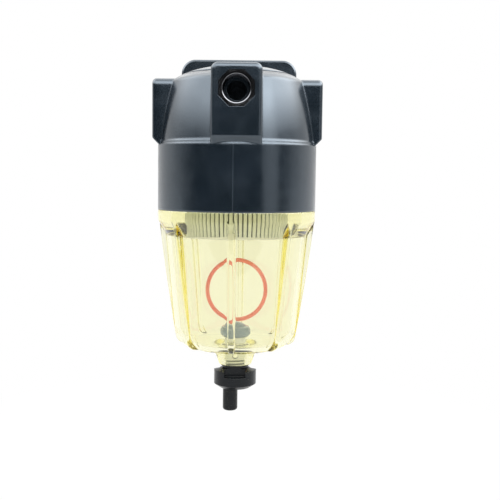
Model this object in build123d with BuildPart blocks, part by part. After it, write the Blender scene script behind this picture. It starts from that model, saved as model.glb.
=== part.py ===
from build123d import *
from math import cos, radians, sin, sqrt, tan
import os

# Fuel water separator: a black moulded head with three ports and a rear mounting plate, a pleated
# paper element pushed on the outlet spigot, and a clear amber bowl with a float ring and a drain.
# Millimetres. +Z is up and the front port faces -Y. The origin lies midway between the two bolt
# holes, on the rear face of the plate. The filter axis is vertical and passes in front of the plate.

# Where the filter axis and the seam between head and bowl lie
axis_depth = 50.0
seam_depth = 80.3

# Head: skirt, stepped ledge and dome
skirt_radius = 46.0
skirt_wall = 3.6
skirt_height = 37.3
ledge_step = 0.45
ledge_rise = 0.7
ledge_land = 0.9
dome_side_height = 34.0
dome_side_bulge = 0.75
dome_top_radius = 38.6
dome_rim_round = 3.0
crown_radius = 20.0
crown_height = 8.2
crown_fall = 0.7
crown_arc_rise = 1.1
head_wall = 4.0

# Head: mounting plate
plate_width = 72.3
plate_height = 54.0
plate_thickness = 6.0
plate_corner = 8.7
plate_above_bolts = 12.0
plate_edge = 1.0
bolt_spacing = 50.0
bolt_hole_radius = 3.5
sleeve_wall = 1.5
rear_block_width = 27.4
rear_block_drop = 3.0

# Head: port bosses and their threaded inserts
boss_width = 27.4
boss_reach = 2.4
boss_root = 14.0
boss_corner = 3.7
boss_edge = 2.4
boss_foot_edge = 0.8
front_boss_height = 79.6
side_boss_height = 74.6
boss_foot_height = 41.1
front_port_height = 66.0
side_port_height = 60.9
port_radius = 7.35
insert_half_flats = 9.7
insert_sides = 8
insert_length = 15.0
insert_recess = 0.4
insert_mouth = 0.9
insert_lip = 3.0
port_wall = 3.0
passage_radius = 5.4

# Head: inside
thread_bore_clearance = 0.3
thread_bore_depth = 16.3
thread_bore_step = 1.0
chamber_round = 6.0
column_radius = 12.0
spigot_radius = 6.9
spigot_wall = 2.1
spigot_below_cap = 12.0
spigot_tip = 0.8
duct_wall = 3.5

# Filter element
element_radius = 31.0
element_height = 59.7
element_bottom = 15.4
cap_plate = 1.5
cap_rim_height = 4.7
foot_cap_height = 4.2
foot_cap_edge = 0.5
cap_rim_wall = 0.8
pleat_count = 72
pleat_section = 4.0
pleat_core_gap = 0.3
core_radius = 10.0
core_wall = 0.8
core_hole_radius = 2.0
core_hole_rows = 4
core_holes_around = 6
grommet_radius = 8.9
grommet_length = 8.0
grommet_flange = 2.6
grommet_flange_height = 1.5
grommet_clearance = 0.1

# Bowl
neck_height = 12.0
neck_wall = 3.7
neck_edge = 0.8
flange_height = 6.0
shoulder_drop = 14.2
shoulder_inset = 4.8
wall_draft = 5.65
bowl_wall = 2.8
floor_slope = 10.0
floor_corner = 12.0
floor_drop = 83.1
nipple_root_radius = 12.4
nipple_radius = 12.2
nipple_end_radius = 9.6
nipple_bulge = 0.5
nipple_shoulder = 1.2
nipple_length = 8.3

# Ribs of the bowl
rib_count = 8
rib_turn = -3.0
rib_width = 3.5
rib_top_drop = 4.5
rib_inset = 0.2
rib_tip_inset = 11.4
rib_tip_drop = 79.6
rib_bulge = 0.55
rib_tip_round = 5.0
rib_edge = 1.0
rib_foot_inset = 20.0

# Bowl seal and float ring
seal_section = 2.0
seal_gap = 0.1
seal_groove_height = 2.6
seal_groove_rise = 0.6
ring_radius = 19.8
ring_section = 2.5
ring_wall_gap = 1.15
ring_drop = 50.8
ring_lean = 5.0

# Drain valve
stem_radius = 6.0
stem_clearance = 0.1
stem_socket_depth = 6.0
stem_socket_clearance = 0.05
valve_lift = 4.0
valve_stop_gap = 0.5
stem_stub_radius = 3.0
stem_stub_length = 5.0
stem_groove_depth = 1.5
stem_seal_section = 1.45
stem_seal_drop = 1.6
land_height = 3.2
relief_height = 3.4
relief_depth = 0.8
cross_hole_radius = 1.5
washer_radius = 8.4
washer_thickness = 0.7
washer_gap = 0.1
valve_head_radius = 9.05
valve_head_foot = 7.4
valve_head_shoulder = 8.0
valve_head_cap = 6.5
valve_head_bulge_height = 3.6
valve_head_shoulder_height = 6.7
valve_head_height = 9.7
collar_radius = 7.5
collar_height = 1.0
knob_shoulder_height = 1.7
lobe_radius = 12.5
lobe_height = 3.3
lobe_count = 3
notch_width = 12.3
notch_floor = 7.2
band_height = 7.4
knob_foot_radius = 9.0
knob_foot_height = 2.4
tube_radius = 4.4
tube_offset = 2.8
tube_length = 14.1
tube_end_round = 1.5
tube_bore_radius = 2.4

# Levels and radii that follow from the values above
seam_z = -seam_depth
skirt_top_z = seam_z + skirt_height
ledge_top_z = skirt_top_z + 2 * ledge_rise + ledge_land
dome_foot_radius = skirt_radius - 2 * ledge_step
dome_rim_z = ledge_top_z + dome_side_height
crown_z = dome_rim_z + crown_height
roof_z = crown_z - head_wall
bore_radius = skirt_radius - skirt_wall
bore_top_z = seam_z + thread_bore_depth
boss_face = skirt_radius + boss_reach
boss_foot_z = seam_z + boss_foot_height
front_port_z = seam_z + front_port_height
side_port_z = seam_z + side_port_height
insert_outer = boss_face - insert_recess
insert_inner = insert_outer - insert_length
insert_turn = 180 / insert_sides
sleeve_radius = bolt_hole_radius + sleeve_wall

element_bottom_z = seam_z - element_bottom
element_top_z = element_bottom_z + element_height
media_bottom_z = element_bottom_z + foot_cap_height
media_top_z = element_top_z - cap_plate
media_radius = element_radius - cap_rim_wall
pleat_depth = media_radius - pleat_section - core_radius - pleat_core_gap
spigot_end_z = element_top_z - spigot_below_cap

neck_radius = bore_radius - thread_bore_clearance
neck_inner_radius = neck_radius - neck_wall
wall_top_radius = skirt_radius - shoulder_inset
rib_tip_radius = skirt_radius - rib_tip_inset
rib_foot_radius = skirt_radius - rib_foot_inset
neck_top_z = seam_z + neck_height
flange_bottom_z = seam_z - flange_height
shoulder_z = seam_z - shoulder_drop
floor_z = seam_z - floor_drop
draft_slope = tan(radians(wall_draft))
floor_rise = tan(radians(floor_slope))
inner_floor_z = floor_z + bowl_wall / cos(radians(floor_slope))
nipple_top_z = floor_z - nipple_shoulder
nipple_end_z = floor_z - nipple_length
seal_z = seam_z + seal_groove_rise + seal_groove_height / 2
seal_groove_radius = neck_radius - seal_gap - seal_section
ring_z = seam_z - ring_drop
wall_at_ring = wall_top_radius - (shoulder_z - ring_z) * draft_slope - bowl_wall / cos(radians(wall_draft))
ring_behind_axis = sqrt((wall_at_ring - ring_wall_gap) ** 2 - ring_radius**2)
stem_bore_radius = stem_radius + stem_clearance
valve_head_z = inner_floor_z + valve_lift + valve_stop_gap
knob_top_z = nipple_end_z - washer_gap - washer_thickness
stem_foot_z = knob_top_z - stem_socket_depth
lobe_top_z = knob_top_z - collar_height - knob_shoulder_height
band_top_z = lobe_top_z - lobe_height
knob_bottom_z = band_top_z - band_height
tube_end_z = knob_bottom_z - tube_length
stem_seal_z = inner_floor_z - stem_seal_drop
cross_hole_z = inner_floor_z - land_height - relief_height / 2

# Planes and the axis on which everything round is built
filter_axis = Axis((0, -axis_depth, 0), (0, 0, 1))
level = Plane(origin=(0, -axis_depth, 0))


def radial_plane(angle):
    """The upright plane through the filter axis whose x runs outwards, turned from the front."""
    outward = Vector(sin(radians(angle)), -cos(radians(angle)), 0)
    return Plane(origin=(0, -axis_depth, 0), x_dir=outward, z_dir=outward.cross(Vector(0, 0, 1)))


def facing_plane(angle, distance, height):
    """The upright plane at a distance from the filter axis that looks outwards at an angle."""
    outward = Vector(sin(radians(angle)), -cos(radians(angle)), 0)
    across = Vector(0, 0, 1).cross(outward)
    centre = Vector(0, -axis_depth, height) + outward * distance
    return Plane(origin=centre, x_dir=across, z_dir=outward)


section = radial_plane(90)
front, right, left = 0, 90, -90


def port_boss(angle, boss_height):
    """A port's square block with its rounded face and 45 degree underside."""
    outward = Axis((0, 0, 0), radial_plane(angle).x_dir)
    top_z = seam_z + boss_height
    with BuildPart() as boss:
        with BuildSketch(radial_plane(angle)):
            with BuildLine():
                Polyline(
                    (boss_root, top_z),
                    (boss_face, top_z),
                    (boss_face, boss_foot_z),
                    (boss_root, boss_foot_z - (boss_face - boss_root)),
                    close=True,
                )
            make_face()
        extrude(amount=boss_width / 2, both=True)
        fillet(boss.edges().filter_by(outward).group_by(Axis.Z)[-1], boss_corner)
        face_edges = boss.faces().sort_by(outward)[-1].edges().sort_by(Axis.Z)
        fillet(face_edges[1:], boss_edge)
        foot_edge = boss.faces().sort_by(outward)[-1].edges().sort_by(Axis.Z)[0]
        fillet(foot_edge, boss_foot_edge)
    return boss.part


# Head: the mounting plate behind the dome, with its front edge broken
with BuildPart() as mounting_plate:
    with BuildSketch(Plane.XZ):
        with Locations((0, plate_above_bolts - plate_height / 2)):
            RectangleRounded(plate_width, plate_height, plate_corner)
    extrude(amount=plate_thickness)
    chamfer(mounting_plate.faces().sort_by(Axis.Y)[0].edges(), plate_edge)

# Head: the whole moulding is one solid
with BuildPart() as head:
    with BuildSketch(section):
        with BuildLine():
            ledge_mid_radius = skirt_radius - ledge_step
            side_middle = (dome_foot_radius + dome_top_radius) / 2 + dome_side_bulge
            crown_edge = (crown_radius, crown_z - crown_fall)
            rim = (dome_top_radius, dome_rim_z)
            crown_middle_z = (crown_edge[1] + dome_rim_z) / 2 + crown_arc_rise
            crown_middle = ((crown_radius + dome_top_radius) / 2, crown_middle_z)
            Polyline(
                (0, crown_z),
                (0, seam_z),
                (skirt_radius, seam_z),
                (skirt_radius, skirt_top_z),
                (ledge_mid_radius, skirt_top_z + ledge_rise),
                (ledge_mid_radius, skirt_top_z + ledge_rise + ledge_land),
                (dome_foot_radius, ledge_top_z),
            )
            ThreePointArc(
                (dome_foot_radius, ledge_top_z),
                (side_middle, (ledge_top_z + dome_rim_z) / 2),
                rim,
            )
            ThreePointArc(rim, crown_middle, crown_edge)
            TangentArc((0, crown_z), crown_edge, tangent=(1, 0))
        make_face()
    revolve(axis=filter_axis)
    rings = head.edges().filter_by(lambda edge: edge.is_closed)
    fillet(rings.group_by(Axis.Z)[-2], dome_rim_round)
    add(port_boss(front, front_boss_height))
    add(port_boss(right, side_boss_height))
    add(port_boss(left, side_boss_height))

    add(mounting_plate.part)
    rear_block_top = seam_z + front_boss_height - rear_block_drop
    rear_block_bottom = plate_above_bolts - plate_height
    with BuildSketch(Plane.XZ.offset(plate_thickness / 2)):
        with Locations((0, (rear_block_top + rear_block_bottom) / 2)):
            Rectangle(rear_block_width, rear_block_top - rear_block_bottom)
    extrude(amount=axis_depth - boss_root)

    # The chamber inside, from the threaded mouth up to the roof
    with BuildSketch(section):
        with BuildLine():
            chamber_radius = bore_radius - thread_bore_step
            chamber_top_radius = dome_top_radius - head_wall
            Polyline(
                (0, roof_z),
                (0, seam_z),
                (bore_radius, seam_z),
                (bore_radius, bore_top_z),
                (chamber_radius, bore_top_z + thread_bore_step),
                (chamber_radius - ledge_step, ledge_top_z),
                (chamber_top_radius, roof_z),
                close=True,
            )
        make_face()
        fillet(vertices().group_by(Axis.Y)[-1].sort_by(Axis.X)[-1], chamber_round)
    revolve(axis=filter_axis, mode=Mode.SUBTRACT)

    # The outlet column with its spigot, the duct from the front port, and the side ports' walls
    with BuildSketch(level.offset(roof_z)):
        Circle(column_radius)
    extrude(amount=-(roof_z - front_port_z + passage_radius + duct_wall))
    with BuildSketch(level.offset(front_port_z)):
        Circle(spigot_radius)
    extrude(amount=spigot_end_z - front_port_z)
    chamfer(head.edges().filter_by_position(Axis.Z, spigot_end_z, spigot_end_z), spigot_tip)
    duct_radius = passage_radius + duct_wall
    with BuildSketch(facing_plane(front, 0, front_port_z)):
        Circle(duct_radius)
        with Locations((0, (roof_z - front_port_z) / 2)):
            Rectangle(2 * duct_radius, roof_z - front_port_z)
    extrude(amount=boss_face - head_wall)
    wall_reach = insert_inner - insert_lip
    for side in (left, right):
        with BuildSketch(facing_plane(side, wall_reach, side_port_z)):
            RegularPolygon(insert_half_flats + port_wall, insert_sides, major_radius=False, rotation=insert_turn)
        extrude(amount=insert_length - port_wall)

    # The ports and passages
    for angle, height in ((front, front_port_z), (left, side_port_z), (right, side_port_z)):
        with BuildSketch(facing_plane(angle, boss_face, height)):
            RegularPolygon(insert_half_flats, insert_sides, major_radius=False, rotation=insert_turn)
        extrude(amount=-(boss_face - insert_inner), mode=Mode.SUBTRACT)
    with BuildSketch(facing_plane(front, insert_inner, front_port_z)):
        Circle(passage_radius)
    extrude(amount=-(insert_inner + passage_radius), mode=Mode.SUBTRACT)
    for side in (left, right):
        with BuildSketch(facing_plane(side, insert_inner, side_port_z)):
            Circle(passage_radius)
        extrude(amount=-insert_lip, mode=Mode.SUBTRACT)
    with BuildSketch(level.offset(spigot_end_z)):
        Circle(spigot_radius - spigot_wall)
    extrude(amount=front_port_z - spigot_end_z, mode=Mode.SUBTRACT)

    # The two bolt holes, which hold the metal sleeves
    with BuildSketch(Plane.XZ):
        with GridLocations(bolt_spacing, 0, 2, 1):
            Circle(sleeve_radius)
    extrude(amount=plate_thickness, mode=Mode.SUBTRACT)
head.part.label = "head"


def port_insert(angle, height):
    """A port's eight-sided threaded metal insert, moulded into its boss."""
    with BuildPart() as insert:
        with BuildSketch(facing_plane(angle, insert_outer, height)):
            RegularPolygon(insert_half_flats, insert_sides, major_radius=False, rotation=insert_turn)
            Circle(port_radius, mode=Mode.SUBTRACT)
        extrude(amount=-insert_length)
        outward = Axis((0, 0, 0), radial_plane(angle).x_dir)
        mouth = insert.edges().filter_by(GeomType.CIRCLE).sort_by(outward)[-1]
        chamfer(mouth, insert_mouth)
    return insert.part


front_port_insert = port_insert(front, front_port_z)
front_port_insert.label = "front_port_insert"
left_port_insert = port_insert(left, side_port_z)
left_port_insert.label = "left_port_insert"
right_port_insert = port_insert(right, side_port_z)
right_port_insert.label = "right_port_insert"


def bolt_sleeve(side):
    """A metal sleeve that takes a mounting bolt's load through the plastic plate."""
    with BuildPart() as sleeve:
        with BuildSketch(Plane.XZ):
            with Locations((side * bolt_spacing / 2, 0)):
                Circle(sleeve_radius)
                Circle(bolt_hole_radius, mode=Mode.SUBTRACT)
        extrude(amount=plate_thickness)
    return sleeve.part


left_bolt_sleeve = bolt_sleeve(-1)
left_bolt_sleeve.label = "left_bolt_sleeve"
right_bolt_sleeve = bolt_sleeve(1)
right_bolt_sleeve.label = "right_bolt_sleeve"


# Element: the upper end cap, a plate with a turned-down rim and a hole for the grommet
with BuildPart() as element_top_cap:
    with BuildSketch(level.offset(element_top_z)):
        Circle(element_radius)
        Circle(grommet_radius, mode=Mode.SUBTRACT)
    extrude(amount=-cap_plate)
    with BuildSketch(level.offset(element_top_z)):
        Circle(element_radius)
        Circle(media_radius, mode=Mode.SUBTRACT)
    extrude(amount=-cap_rim_height)
element_top_cap.part.label = "element_top_cap"

# Element: the closed lower end cap, a moulded disc which shows as a pale band through the bowl
with BuildPart() as element_bottom_cap:
    with BuildSketch(level.offset(element_bottom_z)):
        Circle(element_radius)
    extrude(amount=foot_cap_height)
    fillet(element_bottom_cap.edges().group_by(Axis.Z)[0], foot_cap_edge)
element_bottom_cap.part.label = "element_bottom_cap"


def zigzag(fold_radius):
    """The folded outline of the paper: a fold out and a fold in for every pleat."""
    half_turn = radians(180 / pleat_count)
    points = []
    for fold in range(2 * pleat_count):
        radius = fold_radius - pleat_depth * (fold % 2)
        points.append((radius * cos(fold * half_turn), radius * sin(fold * half_turn)))
    return points


# Element: the pleated paper is one folded sheet between the caps
with BuildPart() as pleated_media:
    with BuildSketch(level.offset(media_bottom_z)):
        with BuildLine():
            Polyline(*zigzag(media_radius), close=True)
        make_face()
        with BuildLine(mode=Mode.PRIVATE) as inner_folds:
            Polyline(*zigzag(media_radius - pleat_section), close=True)
        make_face(inner_folds.edges(), mode=Mode.SUBTRACT)
    extrude(amount=media_top_z - media_bottom_z)
pleated_media.part.label = "pleated_media"

# Element: the perforated core tube inside the paper
with BuildPart() as core_tube:
    with BuildSketch(level.offset(media_bottom_z)):
        Circle(core_radius)
        Circle(core_radius - core_wall, mode=Mode.SUBTRACT)
    extrude(amount=media_top_z - media_bottom_z)
    row_pitch = (media_top_z - media_bottom_z) / (core_hole_rows + 1)
    for row in range(core_hole_rows):
        for turn in range(core_holes_around):
            hole_z = media_bottom_z + (row + 1) * row_pitch
            with BuildSketch(facing_plane(turn * 360 / core_holes_around, 0, hole_z)):
                Circle(core_hole_radius)
            extrude(amount=core_radius + core_wall, mode=Mode.SUBTRACT)
core_tube.part.label = "core_tube"

# Element: the rubber grommet that seals the element to the outlet spigot
with BuildPart() as element_grommet:
    with BuildSketch(level.offset(element_top_z + grommet_flange_height)):
        Circle(grommet_radius)
    extrude(amount=-(grommet_flange_height + grommet_length))
    with BuildSketch(level.offset(element_top_z)):
        Circle(grommet_radius + grommet_flange)
    extrude(amount=grommet_flange_height)
    with BuildSketch(level.offset(element_top_z + grommet_flange_height)):
        Circle(spigot_radius + grommet_clearance)
    extrude(amount=-(grommet_flange_height + grommet_length), mode=Mode.SUBTRACT)
element_grommet.part.label = "element_grommet"


def bowl_corner(inset):
    """Where the wall and the floor of the bowl meet, with both moved inwards by an inset."""
    wall_radius_at_zero = wall_top_radius - inset / cos(radians(wall_draft)) - shoulder_z * draft_slope
    floor_at_axis = floor_z + inset / cos(radians(floor_slope)) - nipple_root_radius * floor_rise
    radius = (wall_radius_at_zero + floor_at_axis * draft_slope) / (1 - floor_rise * draft_slope)
    return radius, floor_at_axis + radius * floor_rise


def bowl_rib(angle):
    """One outer rib, flush with the flange at its top and squarer than the bowl at its foot."""
    top = (skirt_radius - rib_inset, seam_z - rib_top_drop)
    tip = (rib_tip_radius, seam_z - rib_tip_drop)
    with BuildPart() as rib:
        with BuildSketch(radial_plane(angle)):
            with BuildLine():
                Bezier(top, ((top[0] + tip[0]) / 2 + 2 * rib_bulge, (top[1] + tip[1]) / 2), tip)
                Polyline(
                    tip,
                    (rib_foot_radius, tip[1]),
                    (rib_foot_radius, top[1]),
                    top,
                )
            make_face()
            fillet(vertices().sort_by(Axis.Y)[:2].sort_by(Axis.X)[-1], rib_tip_round)
        extrude(amount=rib_width / 2, both=True)
        fillet(rib.edges().filter_by(GeomType.CIRCLE), rib_edge)
    return rib.part


# Bowl: neck, flange, tapered wall, sloping floor, drain nipple and ribs are one clear moulding
with BuildPart() as bowl:
    outer_corner = bowl_corner(0)
    with BuildSketch(section):
        with BuildLine():
            Polyline(
                (0, neck_top_z),
                (neck_radius - neck_edge, neck_top_z),
                (neck_radius, neck_top_z - neck_edge),
                (neck_radius, seam_z),
                (skirt_radius, seam_z),
                (skirt_radius, flange_bottom_z),
                (wall_top_radius, shoulder_z),
                outer_corner,
                (nipple_root_radius, floor_z),
                (nipple_radius, nipple_top_z),
            )
            ThreePointArc(
                (nipple_radius, nipple_top_z),
                ((nipple_radius + nipple_end_radius) / 2 + nipple_bulge, (nipple_top_z + nipple_end_z) / 2),
                (nipple_end_radius, nipple_end_z),
            )
            Polyline((nipple_end_radius, nipple_end_z), (0, nipple_end_z), (0, neck_top_z))
        make_face()
        fillet(vertices().sort_by_distance(outer_corner)[0], floor_corner)
    revolve(axis=filter_axis)
    for number in range(rib_count):
        add(bowl_rib(rib_turn + number * 360 / rib_count))
    with BuildSketch(section):
        inner_corner = bowl_corner(bowl_wall)
        with BuildLine():
            Polyline(
                (0, neck_top_z),
                (neck_inner_radius, neck_top_z),
                (neck_inner_radius, shoulder_z),
                inner_corner,
                (nipple_root_radius, inner_floor_z),
                (0, inner_floor_z),
                close=True,
            )
        make_face()
        fillet(vertices().sort_by_distance(inner_corner)[0], floor_corner - bowl_wall)
    revolve(axis=filter_axis, mode=Mode.SUBTRACT)
    with BuildSketch(section):
        with Locations((neck_radius, seal_z)):
            Rectangle(2 * (neck_radius - seal_groove_radius), seal_groove_height)
    revolve(axis=filter_axis, mode=Mode.SUBTRACT)
    with BuildSketch(level.offset(nipple_end_z)):
        Circle(stem_bore_radius)
    extrude(amount=inner_floor_z - nipple_end_z, mode=Mode.SUBTRACT)
    with BuildSketch(level.offset(inner_floor_z - land_height)):
        Circle(stem_bore_radius + relief_depth)
    extrude(amount=-relief_height, mode=Mode.SUBTRACT)
bowl.part.label = "bowl"

# Bowl seal: an O-ring in the groove at the root of the neck
with BuildPart(level.offset(seal_z)) as bowl_seal:
    Torus(seal_groove_radius + seal_gap + seal_section / 2, seal_section / 2)
bowl_seal.part.label = "bowl_seal"

# Float ring: stands in the bowl and leans on its rear wall
lean = radians(ring_lean)
ring_plane = Plane(
    origin=(0, ring_behind_axis - axis_depth, ring_z),
    x_dir=(1, 0, 0),
    z_dir=(0, -cos(lean), sin(lean)),
)
with BuildPart(ring_plane) as float_ring:
    Torus(ring_radius - ring_section / 2, ring_section / 2)
float_ring.part.label = "float_ring"

# Drain: the grey rubber head on top of the stem, inside the bowl
with BuildPart() as drain_head:
    with BuildSketch(section):
        with BuildLine():
            foot = (valve_head_foot, valve_head_z)
            bulge = (valve_head_radius, valve_head_z + valve_head_bulge_height)
            shoulder = (valve_head_shoulder, valve_head_z + valve_head_shoulder_height)
            cap_edge = (valve_head_cap, shoulder[1] + (valve_head_shoulder - valve_head_cap) / 4)
            apex = (0, valve_head_z + valve_head_height)
            Polyline(apex, (0, valve_head_z), foot)
            ThreePointArc(foot, bulge, shoulder)
            Line(shoulder, cap_edge)
            TangentArc(apex, cap_edge, tangent=(1, 0))
        make_face()
    revolve(axis=filter_axis)
    with BuildSketch(level.offset(valve_head_z)):
        Circle(stem_stub_radius + stem_clearance)
    extrude(amount=stem_stub_length + stem_clearance, mode=Mode.SUBTRACT)
drain_head.part.label = "drain_head"

# Drain: the pale stem, which lets the water in through its cross hole and down its bore
with BuildPart() as drain_stem:
    with BuildSketch(level.offset(stem_foot_z)):
        Circle(stem_radius)
    extrude(amount=valve_head_z - stem_foot_z)
    with BuildSketch(level.offset(valve_head_z)):
        Circle(stem_stub_radius)
    extrude(amount=stem_stub_length)
    with BuildSketch(section):
        with Locations((stem_radius, stem_seal_z)):
            Rectangle(2 * stem_groove_depth, stem_seal_section)
    revolve(axis=filter_axis, mode=Mode.SUBTRACT)
    with BuildSketch(level.offset(stem_foot_z)):
        Circle(tube_bore_radius)
    extrude(amount=cross_hole_z - stem_foot_z, mode=Mode.SUBTRACT)
    with BuildSketch(facing_plane(front, -stem_radius, cross_hole_z)):
        Circle(cross_hole_radius)
    extrude(amount=2 * stem_radius, mode=Mode.SUBTRACT)
drain_stem.part.label = "drain_stem"

# Drain: the three-lobed knob and its off-centre tube are one moulding around the stem's foot
with BuildPart() as drain_valve:
    with BuildSketch(section):
        with BuildLine():
            Polyline(
                (0, knob_top_z),
                (0, knob_bottom_z),
                (knob_foot_radius, knob_bottom_z),
                (lobe_radius, knob_bottom_z + knob_foot_height),
                (lobe_radius, lobe_top_z),
                (collar_radius, knob_top_z - collar_height),
                (collar_radius, knob_top_z),
                close=True,
            )
        make_face()
    revolve(axis=filter_axis)
    with BuildSketch(level.offset(band_top_z)):
        with PolarLocations(lobe_radius, lobe_count, start_angle=-90):
            Rectangle(2 * (lobe_radius - notch_floor), notch_width)
    extrude(amount=knob_top_z - band_top_z, mode=Mode.SUBTRACT)
    with BuildSketch(level.offset(knob_bottom_z)):
        with Locations((-tube_offset, 0)):
            Circle(tube_radius)
    extrude(amount=-tube_length)
    fillet(drain_valve.edges().sort_by(Axis.Z)[0], tube_end_round)
    with BuildSketch(level.offset(knob_top_z)):
        Circle(stem_radius + stem_socket_clearance)
    extrude(amount=-stem_socket_depth, mode=Mode.SUBTRACT)
    with BuildSketch(level.offset(tube_end_z)):
        with Locations((-tube_offset, 0)):
            Circle(tube_bore_radius)
    extrude(amount=stem_foot_z - tube_end_z, mode=Mode.SUBTRACT)
drain_valve.part.label = "drain_valve"

# Drain: the O-ring on the stem and the flat washer under the nipple
with BuildPart(level.offset(stem_seal_z)) as drain_o_ring:
    Torus(stem_radius - stem_groove_depth + stem_seal_section / 2, stem_seal_section / 2)
drain_o_ring.part.label = "drain_o_ring"
with BuildPart() as drain_washer:
    with BuildSketch(level.offset(knob_top_z)):
        Circle(washer_radius)
        Circle(stem_bore_radius, mode=Mode.SUBTRACT)
    extrude(amount=washer_thickness)
drain_washer.part.label = "drain_washer"

# Every piece is written to its own file
os.makedirs("parts", exist_ok=True)
export_step(head.part, "parts/head.step")
export_step(front_port_insert, "parts/front_port_insert.step")
export_step(left_port_insert, "parts/left_port_insert.step")
export_step(right_port_insert, "parts/right_port_insert.step")
export_step(left_bolt_sleeve, "parts/left_bolt_sleeve.step")
export_step(right_bolt_sleeve, "parts/right_bolt_sleeve.step")
export_step(element_top_cap.part, "parts/element_top_cap.step")
export_step(element_bottom_cap.part, "parts/element_bottom_cap.step")
export_step(pleated_media.part, "parts/pleated_media.step")
export_step(core_tube.part, "parts/core_tube.step")
export_step(element_grommet.part, "parts/element_grommet.step")
export_step(bowl.part, "parts/bowl.step")
export_step(bowl_seal.part, "parts/bowl_seal.step")
export_step(float_ring.part, "parts/float_ring.step")
export_step(drain_head.part, "parts/drain_head.step")
export_step(drain_stem.part, "parts/drain_stem.step")
export_step(drain_valve.part, "parts/drain_valve.step")
export_step(drain_o_ring.part, "parts/drain_o_ring.step")
export_step(drain_washer.part, "parts/drain_washer.step")
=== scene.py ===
"""Looks of the fuel water separator: materials, bowl, folded paper, threads, light, floor and camera."""
import math

import bpy
from mathutils import Matrix, Vector


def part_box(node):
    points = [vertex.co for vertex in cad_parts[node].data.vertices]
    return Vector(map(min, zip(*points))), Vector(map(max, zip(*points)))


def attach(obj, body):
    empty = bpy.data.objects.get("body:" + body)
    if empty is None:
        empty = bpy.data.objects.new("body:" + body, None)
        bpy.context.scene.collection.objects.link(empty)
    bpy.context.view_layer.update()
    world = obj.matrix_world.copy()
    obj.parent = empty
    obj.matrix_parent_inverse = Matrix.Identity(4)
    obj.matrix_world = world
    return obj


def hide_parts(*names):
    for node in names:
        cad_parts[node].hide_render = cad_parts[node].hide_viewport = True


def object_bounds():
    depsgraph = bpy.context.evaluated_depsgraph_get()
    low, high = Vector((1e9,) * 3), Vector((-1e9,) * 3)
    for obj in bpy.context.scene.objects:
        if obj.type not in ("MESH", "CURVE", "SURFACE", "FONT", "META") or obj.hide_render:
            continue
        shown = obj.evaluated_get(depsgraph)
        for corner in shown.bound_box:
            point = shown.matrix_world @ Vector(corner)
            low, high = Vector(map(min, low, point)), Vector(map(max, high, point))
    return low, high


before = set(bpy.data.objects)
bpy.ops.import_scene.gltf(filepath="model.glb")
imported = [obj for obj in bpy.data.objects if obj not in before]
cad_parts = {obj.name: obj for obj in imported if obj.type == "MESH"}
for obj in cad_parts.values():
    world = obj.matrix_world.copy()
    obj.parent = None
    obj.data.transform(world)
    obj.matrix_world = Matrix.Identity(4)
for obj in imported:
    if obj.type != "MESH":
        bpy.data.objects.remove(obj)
cad_low, cad_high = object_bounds()

MM = 0.001

# Places and sizes from the frame: the filter's axis in metres, the rest in the shapes' millimetres
bowl_low, bowl_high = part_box("bowl")
axis_y = (bowl_low.y + bowl_high.y) / 2
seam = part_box("head")[0].z / MM
neck_top = bowl_high.z / MM
nipple_end = bowl_low.z / MM
flange_radius = (bowl_high.x - bowl_low.x) / 2 / MM
media_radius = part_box("pleated_media")[1].x / MM
stem_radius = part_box("drain_stem")[1].x / MM


# Pieces and their meshes

def new_object(name, data):
    """A new object for a mesh, a lamp or a camera, linked into the scene."""
    piece = bpy.data.objects.new(name, data)
    bpy.context.scene.collection.objects.link(piece)
    return piece


def smooth_with_creases(mesh, degrees):
    """Smooth shading that keeps a crease wherever two faces turn by more than this."""
    mesh.shade_smooth()
    mesh.set_sharp_from_angle(angle=math.radians(degrees))


def grid_mesh(name, rows, crease, ends=False):
    """A mesh from rows of points that run once round; the last row joins the first, or both end in faces."""
    width = len(rows[0])
    points = [point for row in rows for point in row]
    faces = []
    for number in range(len(rows) - 1 if ends else len(rows)):
        above = number * width
        below = (number + 1) % len(rows) * width
        for place in range(width):
            beside = (place + 1) % width
            faces.append((above + place, below + place, below + beside, above + beside))
    if ends:
        faces.append(tuple(range(width)))
        faces.append(tuple(reversed(range(len(points) - width, len(points)))))
    mesh = bpy.data.meshes.new(name)
    mesh.from_pydata(points, [], faces)
    mesh.validate()
    smooth_with_creases(mesh, crease)
    return mesh


def add_piece(mesh, material, body, replaced):
    """Puts a mesh into the scene with its material and its body, and hides the CAD node that it stands for.
    """
    piece = new_object(mesh.name, mesh)
    mesh.materials.append(material)
    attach(piece, body)
    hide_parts(replaced)
    return piece


# Nodes that the materials share; noise scales are per metre, and radii and depths in metres

NOISE_RANGE = (0.3, 0.7)
WITHOUT_Y = (1, 0, 1)
WITHOUT_Z = (1, 1, 0)
ALL_AXES = (1, 1, 1)
BEVEL_SAMPLES = 8


def set_inputs(node, values):
    """Sets a node's inputs to constants, by their names."""
    for name, value in values.items():
        node.inputs[name].default_value = value


def shader_of(material):
    """The shader of a material."""
    return material.node_tree.nodes["Principled BSDF"]


def new_material(name):
    """A new material, with its node tree and its shader."""
    material = bpy.data.materials.new(name)
    material.use_nodes = True
    return material, material.node_tree, shader_of(material)


def object_noise(tree, scale, detail, roughness=0.5):
    """Noise in the object's own metres, so that it moves with its piece."""
    place = tree.nodes.new("ShaderNodeTexCoord")
    noise = tree.nodes.new("ShaderNodeTexNoise")
    set_inputs(noise, {"Scale": scale, "Detail": detail, "Roughness": roughness})
    tree.links.new(place.outputs["Object"], noise.inputs["Vector"])
    return noise.outputs["Fac"]


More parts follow.
